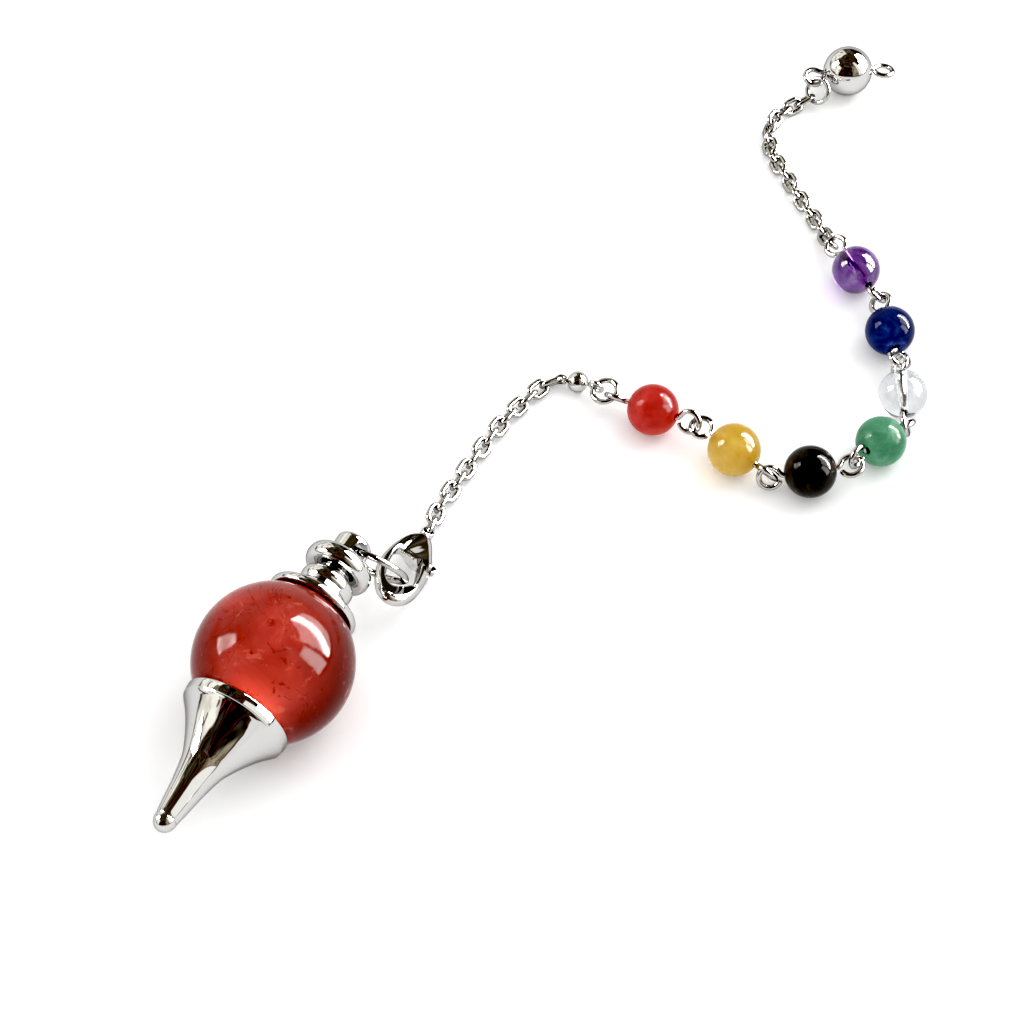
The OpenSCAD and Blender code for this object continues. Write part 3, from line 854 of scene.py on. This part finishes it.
# what shiny things mirror: a dark ceiling, a pale wall to the left, the big window and a narrow bright strip to the right,
# shelves and shade between and behind, and the white table below
n1, _ = t.noise(d, 2.3, 3.0, 0.5, 0.8)
n2, _ = t.noise(d, 4.5, 2.0, 0.5, 0.4)
n3, _ = t.noise(d, 3.1, 1.5, 0.5, 0.3)
room = t.ramp(t.step(n1, 0.32, 0.68), [(0.0, (0.055, 0.055, 0.053)), (0.28, (0.062, 0.060, 0.056)), (0.40, (0.15, 0.128, 0.088)), (0.52, (0.066, 0.062, 0.055)),
                                       (0.64, (0.155, 0.078, 0.070)), (0.74, (0.060, 0.054, 0.052)), (0.86, (0.105, 0.108, 0.088)), (1.0, (0.20, 0.185, 0.16))])
stretch = t.new("ShaderNodeVectorMath", operation="MULTIPLY")
t.put(stretch.inputs[0], d)
stretch.inputs[1].default_value = (1.0, 1.0, 0.3)
n4, _ = t.noise(stretch.outputs[0], 2.7, 1.5, 0.5, 0.2)
behind = t.ramp(t.step(n4, 0.34, 0.66), [(0.0, (0.048, 0.048, 0.050)), (0.30, (0.054, 0.049, 0.049)), (0.44, (0.12, 0.052, 0.050)), (0.52, (0.25, 0.11, 0.105)),
                                         (0.62, (0.10, 0.050, 0.048)), (0.72, (0.050, 0.048, 0.049)), (1.0, (0.12, 0.11, 0.095))])
room = t.mix(t.math("ADD", window(158, 200, -60, 58, 5.0), window(-200, -126, -60, 58, 4.0)), room, behind)
shade = t.ramp(t.step(n3, 0.34, 0.66), [(0.0, (0.055, 0.055, 0.055)), (0.35, (0.085, 0.080, 0.068)), (0.50, (0.19, 0.155, 0.10)), (0.60, (0.070, 0.066, 0.060)), (1.0, (0.24, 0.22, 0.185))])
room = t.mix(window(-9, 92, 4, 54, 2.0), room, shade)
wall = t.mix(t.step(n3, 0.40, 0.62), (1.60, 1.57, 1.42), (1.08, 1.04, 0.94))
wall = t.mix(t.math("MULTIPLY", t.step(n2, 0.555, 0.60), 0.88), wall, (0.15, 0.11, 0.068))
left = t.math("MAXIMUM", window(-127, -9, -40, 43, 1.5), window(-62, -9, 30, 52, 1.5))
room = t.mix(left, room, wall)
room = t.mix(window(132, 160, -40, 62, 4.0), room, t.mix(t.step(n2, 0.35, 0.65), (0.26, 0.20, 0.13), (0.62, 0.55, 0.42)))
room = t.mix(window(110, 131, -40, 70, 1.2), room, (1.40, 1.38, 1.32))
ragged, _ = t.noise(d, 9.0, 4.0, 0.6, 0.2)  # trees and curtains make the windows' edges uneven
plain_az, plain_el = az, el
az = t.math("ADD", az, t.math("MULTIPLY", t.math("SUBTRACT", ragged, 0.5), 9.0))
el = t.math("ADD", el, t.math("MULTIPLY", t.math("SUBTRACT", n3, 0.5), 9.0))
pane1 = t.math("MULTIPLY", window(37, 87, 5, 51, 0.7), t.step(t.math("ADD", az, el), 66, 68))
bright = t.math("MULTIPLY", t.step(t.math("ADD", t.math("MULTIPLY", az, 0.75), el), 64, 69), t.step(t.math("ADD", t.math("MULTIPLY", az, 0.75), el), 73, 84, 1.0, 0.0))
level1 = t.math("ADD", 24.0, t.math("MULTIPLY", bright, 150.0))
pane2 = window(93, 112, 6, 44, 0.7)
pane3 = window(-91, -72, 16, 44, 0.7)
az, el = plain_az, plain_el
horizon = t.math("MULTIPLY", t.math("POWER", dy, 2.0), 0.21)
above = t.math("SUBTRACT", dz, horizon)
table = t.step(above, -0.012, 0.012, 1.0, 0.0)
foot = t.math("MULTIPLY", t.step(above, 0.05, 0.13, 1.0, 0.0), t.step(n2, 0.36, 0.50))  # the table's far edge, in shade
room = t.mix(t.math("MULTIPLY", foot, 0.85), room, (0.10, 0.080, 0.058))


def emission(col, strength):
    n = t.new("ShaderNodeBackground")
    t.put(n.inputs[0], tuple(col) + (1.0,) if isinstance(col, (tuple, list)) else col)
    t.put(n.inputs[1], strength)
    return n.outputs[0]


def add(a, b):
    n = t.new("ShaderNodeAddShader")
    t.put(n.inputs[0], a)
    t.put(n.inputs[1], b)
    return n.outputs[0]


def either(fac, a, b):
    n = t.new("ShaderNodeMixShader")
    t.put(n.inputs[0], fac)
    t.put(n.inputs[1], a)
    t.put(n.inputs[2], b)
    return n.outputs[0]


panes = t.math("ADD", t.math("MULTIPLY", pane1, level1), t.math("ADD", t.math("MULTIPLY", pane2, 30.0), t.math("MULTIPLY", pane3, t.step(n1, 0.40, 0.60, 14.0, 50.0))))
mirrored = add(either(table, emission(room, 1.0), emission((1.0, 0.995, 0.985), 1.2)), emission((1.0, 0.985, 0.96), panes))
soft = emission((1.0, 1.0, 1.0), t.math("ADD", t.math("MULTIPLY", t.math("MAXIMUM", dz, 0.0), 0.84), 0.48))
backdrop = emission((1.0, 1.0, 1.0), 1.15)
path = t.new("ShaderNodeLightPath")
glossy_like = t.math("MAXIMUM", path.outputs["Is Glossy Ray"], path.outputs["Is Transmission Ray"])
sky = either(glossy_like, soft, mirrored)
sky = either(path.outputs["Is Camera Ray"], sky, backdrop)
out = t.new("ShaderNodeOutputWorld")
t.put(out.inputs[0], sky)

key = bpy.data.lights.new("key", "AREA")
key.shape, key.size, key.size_y, key.energy = "RECTANGLE", 0.5, 0.5, 2.0
key_o = bpy.data.objects.new("key", key)
bpy.context.scene.collection.objects.link(key_o)
key_o.location = (0.42, 0.22, 0.62)
key_o.rotation_euler = (Vector(key_o.location)).to_track_quat("Z", "Y").to_euler()
key_o.visible_glossy = False
key_o.visible_camera = False
key_o.visible_transmission = False

cam = bpy.data.cameras.new("camera")
cam.lens, cam.sensor_width = 81.91, 36.0
cam.clip_start, cam.clip_end = 0.01, 20.0
cam_o = bpy.data.objects.new("camera", cam)
bpy.context.scene.collection.objects.link(cam_o)
cam_o.location = (-0.00763, -0.18412, 0.21287)
aim = Vector((-0.00763, -0.01479, 0.0)) - Vector(cam_o.location)
cam_o.rotation_euler = aim.to_track_quat("-Z", "Y").to_euler()
bpy.context.scene.camera = cam_o
view = bpy.context.scene.view_settings
view.view_transform = "Standard"
view.use_curve_mapping = True  # deep blacks, as product photographs have
view.curve_mapping.black_level = (0.04, 0.04, 0.04)
view.curve_mapping.update()
